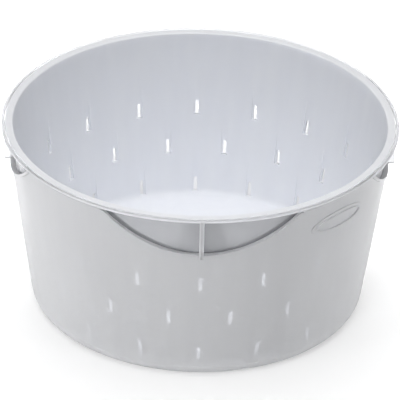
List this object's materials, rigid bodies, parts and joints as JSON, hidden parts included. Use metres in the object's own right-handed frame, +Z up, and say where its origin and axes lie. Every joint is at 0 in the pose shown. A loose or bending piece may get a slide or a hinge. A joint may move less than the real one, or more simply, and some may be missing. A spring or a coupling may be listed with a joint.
{
  "type": "salad spinner bowl and basket",
  "caption": "Round translucent salad spinner without its lid: an outer bowl with windows under its rim and a slotted basket that turns on a centre pin.",
  "frame": {"origin": "centre of the base, on the plane that the bowl stands on", "axes": "+Z up along the spin axis; -Y towards the front fin; +X to the right seen from the front"},
  "size_m": [0.25, 0.25, 0.124],
  "materials": {
    "bowl_plastic": "translucent natural polypropylene, satin",
    "basket_plastic": "translucent white polypropylene, satin",
    "pin_steel": "turned stainless steel",
    "bush_acetal": "white acetal",
    "washer_acetal": "grey-white acetal"
  },
  "bodies": {
    "bowl": {"outer_bowl": "bowl_plastic", "pivot_pin": "pin_steel"},
    "bearing": {"thrust_washer": "washer_acetal"},
    "basket": {"spin_basket": "basket_plastic", "basket_bush": "bush_acetal"}
  },
  "joints": [
    {"name": "basket_lift", "type": "slide", "parent": "bowl", "child": "bearing", "axis": [0, 0, 1], "range_m": [0, 0.135]},
    {"name": "basket_spin", "type": "hinge", "parent": "bearing", "child": "basket", "pos_m": [0, 0, 0.009], "axis": [0, 0, 1], "continuous": true}
  ]
}
